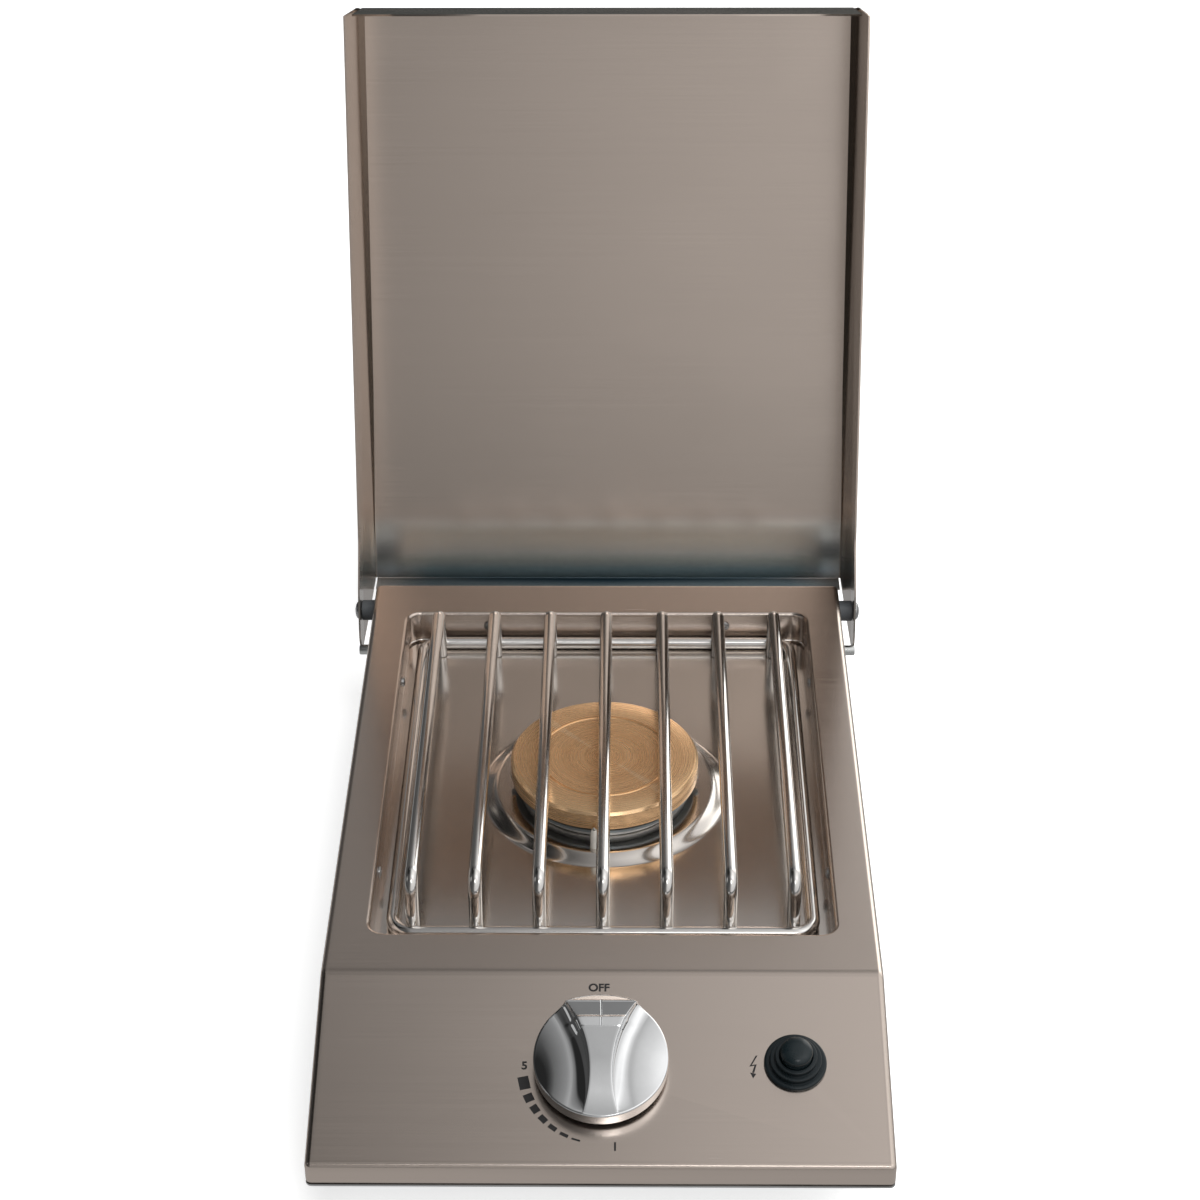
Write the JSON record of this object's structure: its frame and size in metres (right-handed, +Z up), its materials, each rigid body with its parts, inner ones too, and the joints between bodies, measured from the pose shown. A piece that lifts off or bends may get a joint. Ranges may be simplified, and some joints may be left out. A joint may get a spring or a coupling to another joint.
{
  "type": "built-in side burner",
  "caption": "Drop-in gas side burner with bent-rod grate, brass cap burner, push-and-turn knob, push igniter and folding lid.",
  "frame": {"origin": "underside of the lower case, on the vertical axis of the burner", "axes": "+Z up, -Y towards the front with the knob, +X to the right seen from the front"},
  "size_m": [0.347, 0.7038, 0.452],
  "materials": {
    "brushed_stainless": "satin stainless sheet, brushed from side to side",
    "case_steel": "plain zinc coated sheet",
    "polished_steel": "polished stainless",
    "cast_aluminium": "grey cast, matt",
    "dark_steel": "dark blue-grey heat resistant coat",
    "brass": "turned brass",
    "zinc_plate": "zinc plated steel",
    "chrome": "bright chrome",
    "black_plastic": "semi gloss",
    "dark_nylon": "moulded nylon",
    "white_ceramic": "white glazed ceramic",
    "lead_sleeve": "silicone sleeve"
  },
  "bodies": {
    "base": {"top_deck": "brushed_stainless", "lower_case": "case_steel", "burner_pan": "polished_steel", "pan_screw_left_rear": "zinc_plate", "pan_screw_left_front": "zinc_plate", "pan_screw_right_rear": "zinc_plate", "pan_screw_right_front": "zinc_plate", "pan_screw_rear_left": "zinc_plate", "pan_screw_rear_right": "zinc_plate", "burner_head": "cast_aluminium", "flame_ring": "dark_steel", "mixing_bowl": "cast_aluminium", "venturi_tube": "zinc_plate", "gas_orifice": "brass", "valve_body": "cast_aluminium", "inlet_pipe": "zinc_plate", "inlet_nut": "brass", "electrode_ceramic": "white_ceramic", "electrode_pin": "zinc_plate", "electrode_clip": "zinc_plate", "ignition_lead": "lead_sleeve", "valve_bonnet": "zinc_plate", "valve_screw_left": "zinc_plate", "valve_screw_right": "zinc_plate", "igniter_collar": "black_plastic", "igniter_nut": "zinc_plate", "igniter_barrel": "dark_nylon", "pivot_bolt_left": "zinc_plate", "pivot_spacer_left": "dark_nylon", "pivot_nut_left": "zinc_plate", "lid_stop_left": "zinc_plate", "pivot_bolt_right": "zinc_plate", "pivot_spacer_right": "dark_nylon", "pivot_nut_right": "zinc_plate", "lid_stop_right": "zinc_plate"},
    "grate": {"grate_ring": "polished_steel", "grate_rod_1": "polished_steel", "grate_rod_2": "polished_steel", "grate_rod_3": "polished_steel", "grate_rod_4": "polished_steel", "grate_rod_5": "polished_steel", "grate_rod_6": "polished_steel", "grate_rod_7": "polished_steel"},
    "cap": {"burner_cap": "brass"},
    "shutter": {"air_shutter": "zinc_plate"},
    "pusher": {"valve_seat_disc": "zinc_plate"},
    "knob": {"valve_stem": "brass", "control_knob": "chrome"},
    "igniter": {"igniter_button": "black_plastic"},
    "lid": {"lid_shell": "brushed_stainless"}
  },
  "joints": [
    {"name": "lid_hinge", "type": "hinge", "parent": "base", "child": "lid", "pos_m": [0, 0.1913, 0.06898], "axis": [1, 0, 0], "range_deg": [0, 107.65]},
    {"name": "knob_push", "type": "slide", "parent": "base", "child": "pusher", "axis": [0, 0.298, -0.9546], "range_m": [0, 0.003], "stiffness_N_per_m": 1500, "springref_m": -0.003},
    {"name": "knob_turn", "type": "hinge", "parent": "pusher", "child": "knob", "pos_m": [0, -0.25266, 0.06804], "axis": [0, -0.298, 0.9546], "range_deg": [0, 190]},
    {"name": "igniter_press", "type": "slide", "parent": "base", "child": "igniter", "axis": [0, 0.298, -0.9546], "range_m": [0, 0.005], "stiffness_N_per_m": 600, "springref_m": -0.002},
    {"name": "grate_lift", "type": "slide", "parent": "base", "child": "grate", "axis": [0, 0, 1], "range_m": [0, 0.045]},
    {"name": "cap_lift", "type": "slide", "parent": "base", "child": "cap", "axis": [0, 0, 1], "range_m": [0, 0.005]},
    {"name": "air_shutter_turn", "type": "hinge", "parent": "base", "child": "shutter", "pos_m": [0, -0.205, 0.03398], "axis": [0, 1, 0], "range_deg": [-30, 30]}
  ]
}
